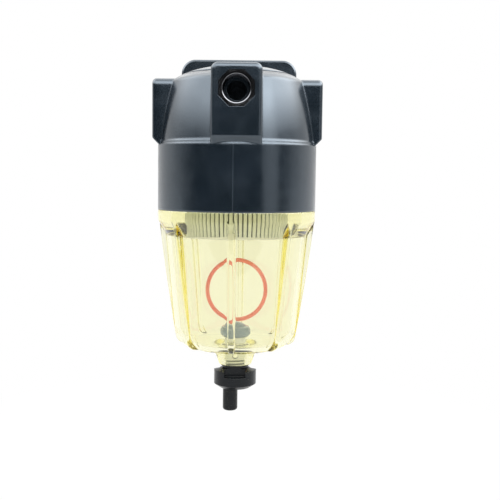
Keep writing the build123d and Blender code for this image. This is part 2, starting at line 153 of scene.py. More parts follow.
def coordinates(tree, kind):
    """X, Y and Z of the coordinates of one kind: Object for a piece, Generated for the world."""
    place = tree.nodes.new("ShaderNodeTexCoord")
    parts = tree.nodes.new("ShaderNodeSeparateXYZ")
    tree.links.new(place.outputs[kind], parts.inputs["Vector"])
    return [parts.outputs[axis] for axis in "XYZ"]


def distance_from(tree, axes, centre):
    """The distance of the object's own coordinates from a place, along the axes that have a 1."""
    place = tree.nodes.new("ShaderNodeTexCoord")
    flat = tree.nodes.new("ShaderNodeVectorMath")
    flat.operation = "MULTIPLY"
    flat.inputs[1].default_value = axes
    tree.links.new(place.outputs["Object"], flat.inputs[0])
    reach = tree.nodes.new("ShaderNodeVectorMath")
    reach.operation = "DISTANCE"
    reach.inputs[1].default_value = centre
    tree.links.new(flat.outputs["Vector"], reach.inputs[0])
    return reach.outputs["Value"]


def remap(tree, value, low, high, to_low, to_high):
    """The value carried from one range to another."""
    node = tree.nodes.new("ShaderNodeMapRange")
    set_inputs(node, {"From Min": low, "From Max": high, "To Min": to_low, "To Max": to_high})
    tree.links.new(value, node.inputs["Value"])
    return node.outputs["Result"]


def combine(tree, operation, first, second):
    """Two values put together by an operation such as MULTIPLY."""
    node = tree.nodes.new("ShaderNodeMath")
    node.operation = operation
    tree.links.new(first, node.inputs[0])
    tree.links.new(second, node.inputs[1])
    return node.outputs["Value"]


def blend_colours(tree, factor, first, second):
    """A colour between two, chosen by a factor; each of the two is a constant or a node's output."""
    node = tree.nodes.new("ShaderNodeMix")
    node.data_type = "RGBA"
    tree.links.new(factor, node.inputs["Factor"])
    for name, colour in (("A", first), ("B", second)):
        if isinstance(colour, tuple):
            node.inputs[name].default_value = (*colour, 1)
        else:
            tree.links.new(colour, node.inputs[name])
    return node.outputs["Result"]


def bump(tree, shader, height, depth, strength, under=None):
    """A bump of that depth in metres on the shader, laid over another where one is given."""
    node = tree.nodes.new("ShaderNodeBump")
    set_inputs(node, {"Distance": depth, "Strength": strength})
    tree.links.new(height, node.inputs["Height"])
    if under is not None:
        tree.links.new(under, node.inputs["Normal"])
    tree.links.new(node.outputs["Normal"], shader.inputs["Normal"])
    return node.outputs["Normal"]


def rounded_edges(tree, radius):
    """A normal that rounds every edge and inner corner of the piece by a radius in metres."""
    node = tree.nodes.new("ShaderNodeBevel")
    node.name = "rounded_edges"
    node.samples = BEVEL_SAMPLES
    node.inputs["Radius"].default_value = radius
    return node.outputs["Normal"]


def uneven_roughness(tree, shader, noise, middle, below, above):
    """Roughness that a noise takes a little below and above its middle value."""
    varied = remap(tree, noise, *NOISE_RANGE, middle - below, middle + above)
    tree.links.new(varied, shader.inputs["Roughness"])


def base_colour(shader):
    """The output that gives a shader its colour so far."""
    return shader.inputs["Base Color"].links[0].from_socket


# Kinds of material; a noise is its scale, detail and at times roughness, a bump its depth and strength

PATCHES = (38, 3)
PATCH_RANGE = (0.35, 0.65)
DULL_PATCHES = (90, 4)
WAVES = (26, 1)
WAVE_BUMP = (0.0006, 0.25)
GRAIN_DETAIL = 2
GRAIN_STRENGTH = 0.35

MOTTLE = (240, 4)
TOOL_MARKS = (1800, 2)
MARK_BUMP = (0.00002, 0.3)

AMBER_DARK, AMBER_LIGHT = (0.945, 0.94, 0.77), (0.962, 0.957, 0.84)
AMBER_TINT = (45, 2)
AMBER_SMEAR = (60, 3)
SMEAR_RANGE = (0.35, 0.75)
SMEAR_ROUGHNESS = (0.0, 0.05)
AMBER_WAVES = (34, 1)
AMBER_WAVE_BUMP = (0.0004, 0.12)
PLASTIC_IOR = 1.5
ABSORPTION = {"Color": (1.0, 0.94, 0.22, 1), "Density": 28}

PAPER_DARK, PAPER_LIGHT = (0.88, 0.92, 0.76), (0.97, 0.98, 0.90)
# Painted shade down between the paper's folds: its colour, full this far below the folds' tops and gone at
# this
PAINTED_FOLD_SHADE = (0.05, 0.075, 0.02)
SHADE_DEEP, SHADE_SHALLOW = 0.0016, 0.0006
FIBRES = (700, 6, 0.7)
FIBRE_GRAIN = (1500, 4)
FIBRE_BUMP = (0.00006, 0.5)


def moulded_plastic(name, dark, light, roughness, grain, depth=0.00002, edge=0.0003):
    """Opaque moulded plastic: a fine grain, a slow waviness and patches that are a little duller."""
    material, tree, shader = new_material(name)
    patches = remap(tree, object_noise(tree, *PATCHES), *PATCH_RANGE, 0, 1)
    tree.links.new(blend_colours(tree, patches, dark, light), shader.inputs["Base Color"])
    uneven_roughness(tree, shader, object_noise(tree, *DULL_PATCHES), roughness, below=0.05, above=0.06)
    waves = bump(tree, shader, object_noise(tree, *WAVES), *WAVE_BUMP, under=rounded_edges(tree, edge))
    bump(tree, shader, object_noise(tree, grain, GRAIN_DETAIL), depth, GRAIN_STRENGTH, under=waves)
    return material


def rubber(name, dark, light, roughness=0.55):
    """Rubber: moulded, with a very fine grain and a low specular level."""
    material = moulded_plastic(name, dark, light, roughness, grain=2600, depth=0.00004)
    set_inputs(shader_of(material), {"Specular IOR Level": 0.35})
    return material


def metal(name, dark, light, roughness):
    """Turned metal: fine marks left by the tool and a slight mottling."""
    material, tree, shader = new_material(name)
    set_inputs(shader, {"Metallic": 1.0})
    mottle = object_noise(tree, *MOTTLE)
    tree.links.new(blend_colours(tree, mottle, dark, light), shader.inputs["Base Color"])
    uneven_roughness(tree, shader, mottle, roughness, below=0.06, above=0.08)
    bump(tree, shader, object_noise(tree, *TOOL_MARKS), *MARK_BUMP)
    return material


def clear_amber(name):
    """Clear amber plastic: nearly colourless through its wall, yellow along its edges."""
    material, tree, shader = new_material(name)
    tint = blend_colours(tree, object_noise(tree, *AMBER_TINT), AMBER_DARK, AMBER_LIGHT)
    tree.links.new(tint, shader.inputs["Base Color"])
    set_inputs(shader, {"Transmission Weight": 1.0, "IOR": PLASTIC_IOR})
    smear = remap(tree, object_noise(tree, *AMBER_SMEAR), *SMEAR_RANGE, *SMEAR_ROUGHNESS)
    tree.links.new(smear, shader.inputs["Roughness"])
    bump(tree, shader, object_noise(tree, *AMBER_WAVES), *AMBER_WAVE_BUMP)
    absorption = tree.nodes.new("ShaderNodeVolumeAbsorption")
    set_inputs(absorption, ABSORPTION)
    tree.links.new(absorption.outputs["Volume"], tree.nodes["Material Output"].inputs["Volume"])
    return material


def filter_paper(name):
    """Resin-treated paper with loose fibres: pale along its outer folds, with shade painted down between
    them.
    """
    material, tree, shader = new_material(name)
    pale = blend_colours(tree, object_noise(tree, *FIBRES), PAPER_DARK, PAPER_LIGHT)
    reach = distance_from(tree, WITHOUT_Z, (0, axis_y, 0))
    outer = media_radius * MM
    # Painted shade, deepest down between the folds
    fold_shade_share = remap(tree, reach, outer - SHADE_DEEP, outer - SHADE_SHALLOW, 0, 1)
    tree.links.new(blend_colours(tree, fold_shade_share, PAINTED_FOLD_SHADE, pale), shader.inputs["Base Color"])
    set_inputs(shader, {"Roughness": 0.85})
    bump(tree, shader, object_noise(tree, *FIBRE_GRAIN), *FIBRE_BUMP)
    return material


# What single materials have besides, with places in metres in the object's own frame

LINE_COLOUR = (0.024, 0.032, 0.04)
LINE_PLACE = -0.0015
LINE_WIDTH = 0.0004
LINE_TOP = -0.042
LINE_FADE = 0.001
SKIRT_FRONT = axis_y - 0.036

PORT_RIM = (0.0108, 0.0125)
BOSS_EDGES = (0.0002, 0.0016)
BACK_RUN = 0.01
BACK_SHARE = 0.15

# Painted shade in the stem's thread roots: its colour, and the reach from the axis over which it fades to
# the stem's own colour
ROOT_SHADE_COLOUR = (0.16, 0.17, 0.13)
ROOT_TO_CREST = (0.0054, 0.0059)


def mould_line(material):
    """A thin pale line down the front of the skirt, where the mould's halves met."""
    tree, shader = material.node_tree, shader_of(material)
    x, y, z = coordinates(tree, "Object")
    right = remap(tree, x, LINE_PLACE, LINE_PLACE + LINE_WIDTH, 1, 0)
    left = remap(tree, x, LINE_PLACE - LINE_WIDTH, LINE_PLACE, 0, 1)
    front = remap(tree, y, SKIRT_FRONT, SKIRT_FRONT + LINE_FADE, 1, 0)
    below = remap(tree, z, LINE_TOP, LINE_TOP + LINE_FADE, 1, 0)
    width = combine(tree, "MULTIPLY", left, right)
    share = combine(tree, "MULTIPLY", width, combine(tree, "MULTIPLY", front, below))
    tree.links.new(blend_colours(tree, share, base_colour(shader), LINE_COLOUR), shader.inputs["Base Color"])


def round_bosses(material):
    """Rounds the boss edges widely, but neither the front port's rim nor the plate behind."""
    tree = material.node_tree
    low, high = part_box("front_port_insert")
    port = distance_from(tree, WITHOUT_Y, (0, 0, (low.z + high.z) / 2))
    beside = remap(tree, port, *PORT_RIM, *BOSS_EDGES)
    y = coordinates(tree, "Object")[1]
    front = remap(tree, y, axis_y, axis_y + BACK_RUN, 1, BACK_SHARE)
    radius = combine(tree, "MULTIPLY", beside, front)
    tree.links.new(radius, tree.nodes["rounded_edges"].inputs["Radius"])


def paint_root_shade(material):
    """Paints shade on the stem down between its threads."""
    tree, shader = material.node_tree, shader_of(material)
    # Painted shade, deepest at the thread roots
    crest = remap(tree, distance_from(tree, WITHOUT_Z, (0, axis_y, 0)), *ROOT_TO_CREST, 0, 1)
    tree.links.new(blend_colours(tree, crest, ROOT_SHADE_COLOUR, base_colour(shader)), shader.inputs["Base Color"])


# The materials

head_black = moulded_plastic(
    "head_black", dark=(0.004, 0.008, 0.012), light=(0.007, 0.012, 0.018),
    roughness=0.21, grain=1500, depth=0.00003,
)
mould_line(head_black)
round_bosses(head_black)
set_inputs(shader_of(head_black), {"Specular IOR Level": 1.0, "Specular Tint": (0.76, 0.88, 1.0, 1)})

drain_black = moulded_plastic(
    "drain_black", dark=(0.0015, 0.0022, 0.003), light=(0.003, 0.0045, 0.006),
    roughness=0.28, grain=1800, depth=0.00003, edge=0.0006,
)
set_inputs(shader_of(drain_black), {"Specular IOR Level": 0.25})

stem_pale = moulded_plastic(
    "stem_pale", dark=(0.82, 0.83, 0.76), light=(0.90, 0.91, 0.84), roughness=0.35, grain=1200,
)
# Painted shade down between the stem's threads
paint_root_shade(stem_pale)

cap_pale = moulded_plastic(
    "cap_pale", dark=(0.88, 0.88, 0.78), light=(0.92, 0.92, 0.84), roughness=0.42, grain=1200,
)
core_pale = moulded_plastic(
    "core_pale", dark=(0.74, 0.75, 0.68), light=(0.80, 0.81, 0.74), roughness=0.45, grain=1200,
)

ring_red = moulded_plastic(
    "ring_red", dark=(0.92, 0.20, 0.14), light=(0.97, 0.29, 0.21), roughness=0.22, grain=900,
)
set_inputs(shader_of(ring_red), {"Subsurface Weight": 0.15, "Subsurface Radius": (0.004, 0.001, 0.0005)})

rubber_black = rubber("rubber_black", dark=(0.012, 0.012, 0.013), light=(0.02, 0.02, 0.021))
rubber_grey = rubber("rubber_grey", dark=(0.19, 0.245, 0.30), light=(0.25, 0.31, 0.37), roughness=0.26)
set_inputs(shader_of(rubber_grey), {"Coat Weight": 1.0, "Coat Roughness": 0.06})

port_black = metal("port_black", dark=(0.12, 0.125, 0.135), light=(0.17, 0.175, 0.19), roughness=0.13)
set_inputs(shader_of(port_black), {"Coat Weight": 1.0, "Coat Roughness": 0.08})
plated_steel = metal("plated_steel", dark=(0.52, 0.53, 0.54), light=(0.66, 0.67, 0.68), roughness=0.32)

paper = filter_paper("paper")
bowl_amber = clear_amber("bowl_amber")


# Which material each CAD node has

NODE_MATERIALS = {
    "head": head_black,
    "front_port_insert": port_black,
    "left_port_insert": port_black,
    "right_port_insert": port_black,
    "left_bolt_sleeve": plated_steel,
    "right_bolt_sleeve": plated_steel,
    "element_top_cap": cap_pale,
    "element_bottom_cap": cap_pale,
    "pleated_media": paper,
    "core_tube": core_pale,
    "element_grommet": rubber_black,
    "bowl_seal": rubber_black,
    "bowl": bowl_amber,
    "float_ring": ring_red,
    "drain_head": rubber_grey,
    "drain_stem": stem_pale,
    "drain_valve": drain_black,
    "drain_o_ring": rubber_black,
    "drain_washer": rubber_black,
}
for node, material in NODE_MATERIALS.items():
    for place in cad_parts[node].material_slots:
        place.material = material


# Lines and rows in millimetres: a point is a radius from the filter's axis and a height

ROUND_STEPS = 4
ROUND_SHARE = 0.48


def arc(centre, radius, start, end, steps):
    """Points of a circle's arc in the half plane of radius and height, in degrees."""
    turns = [math.radians(start + (end - start) * i / steps) for i in range(steps + 1)]
    return [(centre[0] + radius * math.cos(turn), centre[1] + radius * math.sin(turn)) for turn in turns]


def line(start, end, steps):
    """Evenly spaced points of a straight run, without its first point."""
    return [
        (start[0] + (end[0] - start[0]) * i / steps, start[1] + (end[1] - start[1]) * i / steps)
        for i in range(1, steps + 1)
    ]


def rounded(corner, before, after, radius):
    """The corner of a profile, rounded between the runs that come before and after it."""
    here, back, ahead = Vector(corner), Vector(before), Vector(after)
    into, out = (back - here).normalized(), (ahead - here).normalized()
    half = into.angle(out) / 2
    room = ROUND_SHARE * (back - here).length, ROUND_SHARE * (ahead - here).length
    reach = min(radius / math.tan(half), *room)
    size = reach * math.tan(half)
    centre = here + (into + out).normalized() * (size / math.sin(half))
    first, last = here + into * reach - centre, here + out * reach - centre
    sweep = first.angle_signed(last)
    spins = [Matrix.Rotation(-sweep * i / ROUND_STEPS, 2) for i in range(ROUND_STEPS + 1)]
    return [tuple(centre + spin @ first) for spin in spins]


def profile(outline, spacing):
    """A profile through corners of radius, height and rounding, with its long runs cut evenly."""
    corners = [corner[:2] for corner in outline]
    points = [corners[0]]
    for i in range(1, len(outline) - 1):
        rounding = outline[i][2]
        if rounding:
            points += rounded(corners[i], corners[i - 1], corners[i + 1], rounding)
        else:
            points.append(corners[i])
    points.append(corners[-1])
    filled = [points[0]]
    for point in points[1:]:
        last = filled[-1]
        filled += line(last, point, max(1, round(math.dist(last, point) / spacing)))
    return filled


def axes_at(turn):
    """The directions outward and across at a turn round the axis, which starts at the front."""
    return Vector((math.sin(turn), -math.cos(turn))), Vector((math.cos(turn), math.sin(turn)))


# The clear bowl: one closed skin whose rows run round the filter's axis

BOWL_CREASE = 38
NECK_RADIUS = 42.1
NECK_INNER = 38.4
NECK_EDGE = 0.5
NECK_EDGE_STEPS = 3
GROOVE_RADIUS = 39.7
GROOVE_LOW, GROOVE_HIGH = seam + 0.6, seam + 3.2
GROOVE_EDGE = 0.2
GROOVE_CORNER = 0.4
FLANGE_BOTTOM = seam - 6.0
FLANGE_EDGE = 0.5

FLANK_SLOPE = 4
VALLEY_WIDTH = 0.5
THREAD_DEPTH = 0.8
THREAD_PITCH = 4.0
THREAD_TOP, THREAD_BOTTOM = neck_top - 1.0, GROOVE_HIGH + 0.8
THREAD_ROWS = 40
THREAD_START_ROWS = 5
THREAD_END_GAP = 0.3

SHOULDER = seam - 14.2
SHOULDER_ROUND = 3.0
WALL_TOP_RADIUS = 41.2
WALL_DRAFT = math.tan(math.radians(5.65))
WALL = 2.8
BOWL_FLOOR = seam - 83.1
FLOOR_RISE = math.tan(math.radians(10))
FLOOR_CORNER = 12.0
CORNER_STEPS = 16
UNDER_CORNER_STEPS = 5
INNER_FLOOR = BOWL_FLOOR + WALL / math.cos(math.atan(FLOOR_RISE))

NIPPLE_ROOT = 12.4
NIPPLE_ROOT_ROUND = 1.2
NIPPLE_STEP = 1.2
NIPPLE_RADIUS = 12.2
NIPPLE_ROUND = 0.5
NIPPLE_END_RADIUS = 9.6
NIPPLE_END_ROUND = 0.6
DRAIN_BORE = 6.1
BORE_EDGE = 0.3
RELIEF_RADIUS = 6.9
RELIEF_LOW, RELIEF_HIGH = INNER_FLOOR - 6.6, INNER_FLOOR - 3.2
RELIEF_EDGE = 0.1
RELIEF_CORNER = 0.2

RIB_COUNT = 8
RIB_TURN = -3.0
RIB_WIDTH = 3.5
RIB_EDGE = 1.0
RIB_ROOT = 0.7
RIB_DRAFT = 0.15
RIB_TOP = (flange_radius - 0.2, seam - 4.5)
RIB_TIP = (34.6, seam - 79.6)
RIB_BULGE = 0.55
RIB_TIP_ROUND = 5.0
RIB_TIP_RUN_STEPS = 4
RIB_TIP_STEPS = 8

# Where there is little room, a rib's edge and root take these shares of its depth, its feet of a turn
EDGE_SHARE, ROOT_SHARE = 0.55, 0.35
FEET_SHARE = 0.8
NO_DEPTH = 1e-6
GAP_STEPS, ROOT_STEPS, SIDE_STEPS, EDGE_STEPS = 8, 4, 2, 4


def corner_of(inset):
    """Where the bowl's wall and floor would meet, with both moved inwards by an inset."""
    wall_at_zero = WALL_TOP_RADIUS - inset / math.cos(math.atan(WALL_DRAFT)) - SHOULDER * WALL_DRAFT
    floor_at_axis = BOWL_FLOOR + inset / math.cos(math.atan(FLOOR_RISE)) - NIPPLE_ROOT * FLOOR_RISE
    radius = (wall_at_zero + floor_at_axis * WALL_DRAFT) / (1 - FLOOR_RISE * WALL_DRAFT)
    return radius, floor_at_axis + radius * FLOOR_RISE


def outer_corner():
    """The rounding of wall into floor: where it starts, its centre, and its first and last turn."""
    first = -math.degrees(math.atan(WALL_DRAFT))
    last = -90 + math.degrees(math.atan(FLOOR_RISE))
    reach = FLOOR_CORNER * math.tan(math.radians((first - last) / 2))
    slope = Vector((WALL_DRAFT, 1)).normalized()
    start = Vector(corner_of(0)) + slope * reach
    centre = start + Vector((-slope.y, slope.x)) * FLOOR_CORNER
    return start, centre, first, last


def rib_edge_radius(height):
    """How far out the rib's outer edge stands at a height, before its tip is rounded."""
    t = (RIB_TOP[1] - height) / (RIB_TOP[1] - RIB_TIP[1])
    middle = (RIB_TOP[0] + RIB_TIP[0]) / 2 + 2 * RIB_BULGE
    return (1 - t) ** 2 * RIB_TOP[0] + 2 * t * (1 - t) * middle + t ** 2 * RIB_TIP[0]


def rib_tip(start, foot):
    """The rib's edge from a start down to its tip, round it and in to its foot."""
    low = RIB_TIP[1] + RIB_TIP_ROUND
    lean = math.atan(rib_edge_radius(RIB_TIP[1] + 1) - RIB_TIP[0])
    points = []
    for i in range(1, RIB_TIP_RUN_STEPS):
        height = start.y + (low - start.y) * i / RIB_TIP_RUN_STEPS
        points.append((rib_edge_radius(height), height))
    centre = (rib_edge_radius(low) - RIB_TIP_ROUND / math.cos(lean), low)
    points += arc(centre, RIB_TIP_ROUND, -math.degrees(lean), -90, RIB_TIP_STEPS)
    points += line(points[-1], foot, CORNER_STEPS - len(points))
    return points


def wall_points():
    """Pairs of points from the flange's underside to the floor: on the plain bowl, and on the rib's edge."""
    start, centre, first, last = outer_corner()
    wall = profile([
        (flange_radius, FLANGE_BOTTOM, 0),
        (WALL_TOP_RADIUS, SHOULDER, SHOULDER_ROUND),
        (*start, 0),
    ], spacing=2.2)
    pairs = [((radius, height), (max(radius, rib_edge_radius(height)), height)) for radius, height in wall]
    foot = (centre.x + math.sqrt(FLOOR_CORNER ** 2 - (centre.y - RIB_TIP[1]) ** 2), RIB_TIP[1])
    foot_turn = math.degrees(math.atan2(foot[1] - centre.y, foot[0] - centre.x))
    around = arc(centre, FLOOR_CORNER, first, foot_turn, CORNER_STEPS)
    pairs += list(zip(around[1:], rib_tip(start, foot)))
    below = arc(centre, FLOOR_CORNER, foot_turn, last, UNDER_CORNER_STEPS)
    pairs += [(point, point) for point in below[1:]]
    return pairs


def sector_stations():
    """One rib's share of a turn as stations of side, kind and position, from mid gap to mid gap."""
    half = [("wall", i / GAP_STEPS) for i in range(GAP_STEPS + 1)]
    half += [("root", i / ROOT_STEPS) for i in range(1, ROOT_STEPS)]
    half += [("side", i / SIDE_STEPS) for i in range(SIDE_STEPS + 1)]
    half += [("edge", i / EDGE_STEPS) for i in range(1, EDGE_STEPS + 1)]
    stations = [(-1, kind, position) for kind, position in half]
    stations.append((0, "top", 0))
    stations += [(1, kind, position) for kind, position in reversed(half[1:])]
    return stations


STATIONS = sector_stations()


def rib_section(kind, position, depth):
    """A station's offset from the middle of a rib of that depth, and its climb from the wall."""
    turn = math.radians(90 * position)
    edge_climb = min(RIB_EDGE, EDGE_SHARE * depth)
    root_climb = min(RIB_ROOT, ROOT_SHARE * depth)
    if kind == "root":
        offset = RIB_WIDTH / 2 + RIB_DRAFT + RIB_ROOT * (1 - math.sin(turn))
        return offset, root_climb * (1 - math.cos(turn))
    if kind == "side":
        offset = RIB_WIDTH / 2 + RIB_DRAFT * (1 - position)
        return offset, root_climb + (depth - edge_climb - root_climb) * position
    if kind == "edge":
        offset = RIB_WIDTH / 2 - RIB_EDGE * (1 - math.cos(turn))
        return offset, depth - edge_climb * (1 - math.sin(turn))
    return 0, depth


def sector_row(base, tip):
    """One rib's share of a row as angle, offset and climb: an angle along the wall, an offset on the rib."""
    depth = math.dist(base, tip)
    half_gap = math.pi / RIB_COUNT
    foot = RIB_WIDTH / 2 + RIB_DRAFT + RIB_ROOT
    squeeze = min(1, FEET_SHARE * base[0] * math.sin(half_gap) / foot)
    reach = math.asin(squeeze * foot / base[0])
    points = []
    for side, kind, position in STATIONS:
        if kind == "wall":
            points.append((side * (half_gap + (reach - half_gap) * position), None, 0))
        else:
            offset, climb = rib_section(kind, position, depth)
            points.append((None, side * squeeze * offset, climb / depth if depth > NO_DEPTH else 0))
    return points


def turned(base, tip):
    """One row of the bowl's skin, through the plain bowl's point and the rib's point of that row."""
    share = sector_row(base, tip)
    row = []
    for number in range(RIB_COUNT):
        middle = math.radians(RIB_TURN + number * 360 / RIB_COUNT)
        outward, across = axes_at(middle)
        for angle, offset, climb in share:
            radius = base[0] + (tip[0] - base[0]) * climb
            height = base[1] + (tip[1] - base[1]) * climb
            if offset is None:
                flat = axes_at(middle + angle)[0] * base[0]
            else:
                ahead = math.sqrt(base[0] ** 2 - offset ** 2) + (radius - base[0])
                flat = outward * ahead + across * offset
            row.append((flat.x * MM, axis_y + flat.y * MM, height * MM))
    return row


def plain_row(point):
    """A row with no rib."""
    return turned(point, point)


def plain_rows(points):
    """Rows with no rib, one through each point."""
    return [plain_row(point) for point in points]


def thread_shape(phase):
    """A rounded thread's height, from 0 in its valley to 1 on its crest, where the phase is a half."""
    from_valley = 0.5 - abs(phase % 1.0 - 0.5)
    rise = min(1.0, max(0.0, from_valley * FLANK_SLOPE - VALLEY_WIDTH))
    return rise * rise * (3 - 2 * rise)


def thread_row(radius, height, crest, depth, pitch):
    """A plain row with a right-hand thread cut into it, from its crest's radius down by its depth."""
    row = []
    for x, y, z in plain_row((radius, height)):
        angle = math.atan2(y - axis_y, x)
        reach = crest - depth * (1 - thread_shape(height / pitch - angle / (2 * math.pi)))
        row.append((reach * math.cos(angle) * MM, axis_y + reach * math.sin(angle) * MM, z))
    return row


def neck_rows():
    """The neck: its rounded top, its thread and its seal's groove, down to the flange's underside."""
    top = neck_top - NECK_EDGE
    crest = NECK_RADIUS - THREAD_DEPTH
    rows = plain_rows(arc((NECK_INNER + NECK_EDGE, top), NECK_EDGE, 180, 90, NECK_EDGE_STEPS))
    rows += plain_rows(arc((crest - NECK_EDGE, top), NECK_EDGE, 90, 0, NECK_EDGE_STEPS))
    for i in range(THREAD_ROWS + 1):
        height = THREAD_TOP + (THREAD_BOTTOM - THREAD_TOP) * i / THREAD_ROWS
        grown = min(1.0, i / THREAD_START_ROWS)
        crest = NECK_RADIUS - THREAD_DEPTH * (1 - grown)
        rows.append(thread_row(NECK_RADIUS, height, crest, THREAD_DEPTH * grown, THREAD_PITCH))
    groove = profile([
        (NECK_RADIUS, THREAD_BOTTOM - THREAD_END_GAP, 0),
        (NECK_RADIUS, GROOVE_HIGH, GROOVE_EDGE),
        (GROOVE_RADIUS, GROOVE_HIGH, GROOVE_CORNER),
        (GROOVE_RADIUS, GROOVE_LOW, GROOVE_CORNER),
        (NECK_RADIUS, GROOVE_LOW, GROOVE_EDGE),
        (NECK_RADIUS, seam, GROOVE_EDGE),
        (flange_radius, seam, FLANGE_EDGE),
        (flange_radius, FLANGE_BOTTOM, 0),
    ], spacing=2.0)
    return rows + plain_rows(groove[:-1])


def nipple_rows(last):
    """From the floor's last point down the nipple and up its bore, with the bore's wider stretch."""
    under = profile([
        (*last, 0),
        (NIPPLE_ROOT, BOWL_FLOOR, NIPPLE_ROOT_ROUND),
        (NIPPLE_RADIUS, BOWL_FLOOR - NIPPLE_STEP, NIPPLE_ROUND),
        (NIPPLE_END_RADIUS, nipple_end, NIPPLE_END_ROUND),
        (DRAIN_BORE, nipple_end, 0),
    ], spacing=1.6)
    bore = profile([
        (DRAIN_BORE, nipple_end, 0),
        (DRAIN_BORE, RELIEF_LOW, RELIEF_EDGE),
        (RELIEF_RADIUS, RELIEF_LOW, RELIEF_CORNER),
        (RELIEF_RADIUS, RELIEF_HIGH, RELIEF_CORNER),
        (DRAIN_BORE, RELIEF_HIGH, RELIEF_EDGE),
        (DRAIN_BORE, INNER_FLOOR, BORE_EDGE),
        (NIPPLE_ROOT, INNER_FLOOR, 0),
    ], spacing=1.4)
    return plain_rows(under[1:] + bore[1:])


def inside_rows():
    """The inside, from the floor's flat out and up to the neck's top."""
    inside = profile([
        (NIPPLE_ROOT, INNER_FLOOR, 0),
        (*corner_of(WALL), FLOOR_CORNER - WALL),
        (NECK_INNER, SHOULDER, SHOULDER_ROUND),
        (NECK_INNER, neck_top - NECK_EDGE, 0),
    ], spacing=2.4)
    return plain_rows(inside[1:-1])


def bowl_mesh():
    """The whole skin, from the neck's top down the outside, up the drain bore and up the inside."""
    wall = wall_points()
    rows = neck_rows()
    rows += [turned(base, tip) for base, tip in wall]
    rows += nipple_rows(wall[-1][0])
    rows += inside_rows()
    return grid_mesh("clear_bowl", rows, BOWL_CREASE)


# The bowl casts no shadow, so that the lamps light what stands in it
clear_bowl = add_piece(bowl_mesh(), bowl_amber, "bowl", "bowl")
clear_bowl.visible_shadow = False


# The folded paper: one sheet with round folds, closed round the element

PAPER_CREASE = 50
PLEATS = 72
PAPER = 0.34
FOLD = 0.80
FOLD_STEPS = 8
INNER_REACH = 11.2
INNER_HALF = 0.27


def pleat_points():
    """One pleat's middle line: each point's place across and out, and where the sheet's outside faces."""
    outer = media_radius - PAPER / 2 - FOLD
    points = [(-INNER_HALF, INNER_REACH, -1, 1)]
    for i in range(FOLD_STEPS + 1):
        turn = math.radians(-90 + 180 * i / FOLD_STEPS)
        lean, rise = math.sin(turn), math.cos(turn)
        points.append((FOLD * lean, outer + FOLD * rise, lean, rise))
    points.append((INNER_HALF, INNER_REACH, 1, 1))
    return points


def paper_ring(side):
    """The sheet's outside, where the side is 1, or its inside, once round the element at no height."""
    half_turn = math.pi / PLEATS
    points = pleat_points()
    ring = []
    for number in range(PLEATS):
        outward, across = axes_at(number * 2 * half_turn)
        for wide, far, lean, rise in points:
            out, aside = far + side * rise * PAPER / 2, wide + side * lean * PAPER / 2
            ring.append(outward * out + across * aside)
    return ring


def paper_mesh():
    """The sheet with its thickness, from the foot cap up to the top cap."""
    low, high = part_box("pleated_media")
    rows = []
    for side, height in ((1, high.z), (1, low.z), (-1, low.z), (-1, high.z)):
        rows.append([(point.x * MM, axis_y + point.y * MM, height) for point in paper_ring(side)])
    return grid_mesh("folded_paper", rows, PAPER_CREASE)


add_piece(paper_mesh(), paper, "filter_element", "pleated_media")


# The port inserts: eight-sided outside, with a pipe thread inside and a rounded mouth

INSERT_CREASE = 30
INSERT_EDGE = 0.15
PORT_CREST = 7.35
PORT_ROOT = 8.15
PORT_PITCH = 1.41
PORT_THREAD_START, PORT_THREAD_FULL = 1.1, 2.6
ROWS_PER_PITCH = 12
MOUTH_ROUND = 0.65
MOUTH_STEPS = 6
AROUND = 96
TURNS = [2 * math.pi * step / AROUND for step in range(AROUND)]


def octagon(half_width):
    """The reach at each turn of an octagon with flats at the quarter turns."""
    step = math.radians(45)
    return [half_width / math.cos((turn + step / 2) % step - step / 2) for turn in TURNS]


def circle(radius):
    """The reach at each turn of a circle."""
    return [radius] * AROUND


def pipe_thread(depth):
    """The reach at each turn of the threaded bore, at a depth behind the face."""
    run = PORT_THREAD_FULL - PORT_THREAD_START
    fade = min(1.0, max(0.0, (depth - PORT_THREAD_START) / run))
    reaches = []
    for turn in TURNS:
        level = 0.5 + 0.5 * math.cos(2 * math.pi * depth / PORT_PITCH + turn)
        reaches.append(PORT_CREST + (PORT_ROOT - PORT_CREST) * fade * (1 - level))
    return reaches


def insert_row(face, facing, reaches, depth):
    """One row of an insert's skin, at a depth behind the middle of its face."""
    across = Vector((-facing.y, facing.x, 0))
    row = []
    for turn, reach in zip(TURNS, reaches):
        side = across * math.cos(turn) + Vector((0, 0, math.sin(turn)))
        row.append(tuple(face + side * reach * MM - facing * depth * MM))
    return row


def insert_mesh(node, facing):
    """An insert's whole skin: its face, its eight sides, its back, its threaded bore and its mouth."""
    low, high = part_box(node)
    half_width = (high.z - low.z) / 2 / MM
    length = abs((high - low).dot(facing)) / MM
    rings = [
        (circle(PORT_CREST + MOUTH_ROUND), 0),
        (octagon(half_width - INSERT_EDGE), 0),
        (octagon(half_width), INSERT_EDGE),
        (octagon(half_width), length - INSERT_EDGE),
        (octagon(half_width - INSERT_EDGE), length),
    ]
    steps = round(length / PORT_PITCH * ROWS_PER_PITCH)
    for i in range(steps + 1):
        depth = length + (MOUTH_ROUND - length) * i / steps
        rings.append((pipe_thread(depth), depth))
    mouth = arc((PORT_CREST + MOUTH_ROUND, MOUTH_ROUND), MOUTH_ROUND, 180, 270, MOUTH_STEPS)
    rings += [(circle(radius), depth) for radius, depth in mouth[1:-1]]
    face = (low + high) / 2 + facing * length * MM / 2
    rows = [insert_row(face, facing, reaches, depth) for reaches, depth in rings]
    return grid_mesh(f"threaded_{node}", rows, INSERT_CREASE)


for node, facing in (
    ("front_port_insert", Vector((0, -1, 0))),
    ("left_port_insert", Vector((-1, 0, 0))),
    ("right_port_insert", Vector((1, 0, 0))),
):
    add_piece(insert_mesh(node, facing), port_black, "head", node)


# The stem: its stub, its seal's groove, its thread, its blind bore and its cross hole

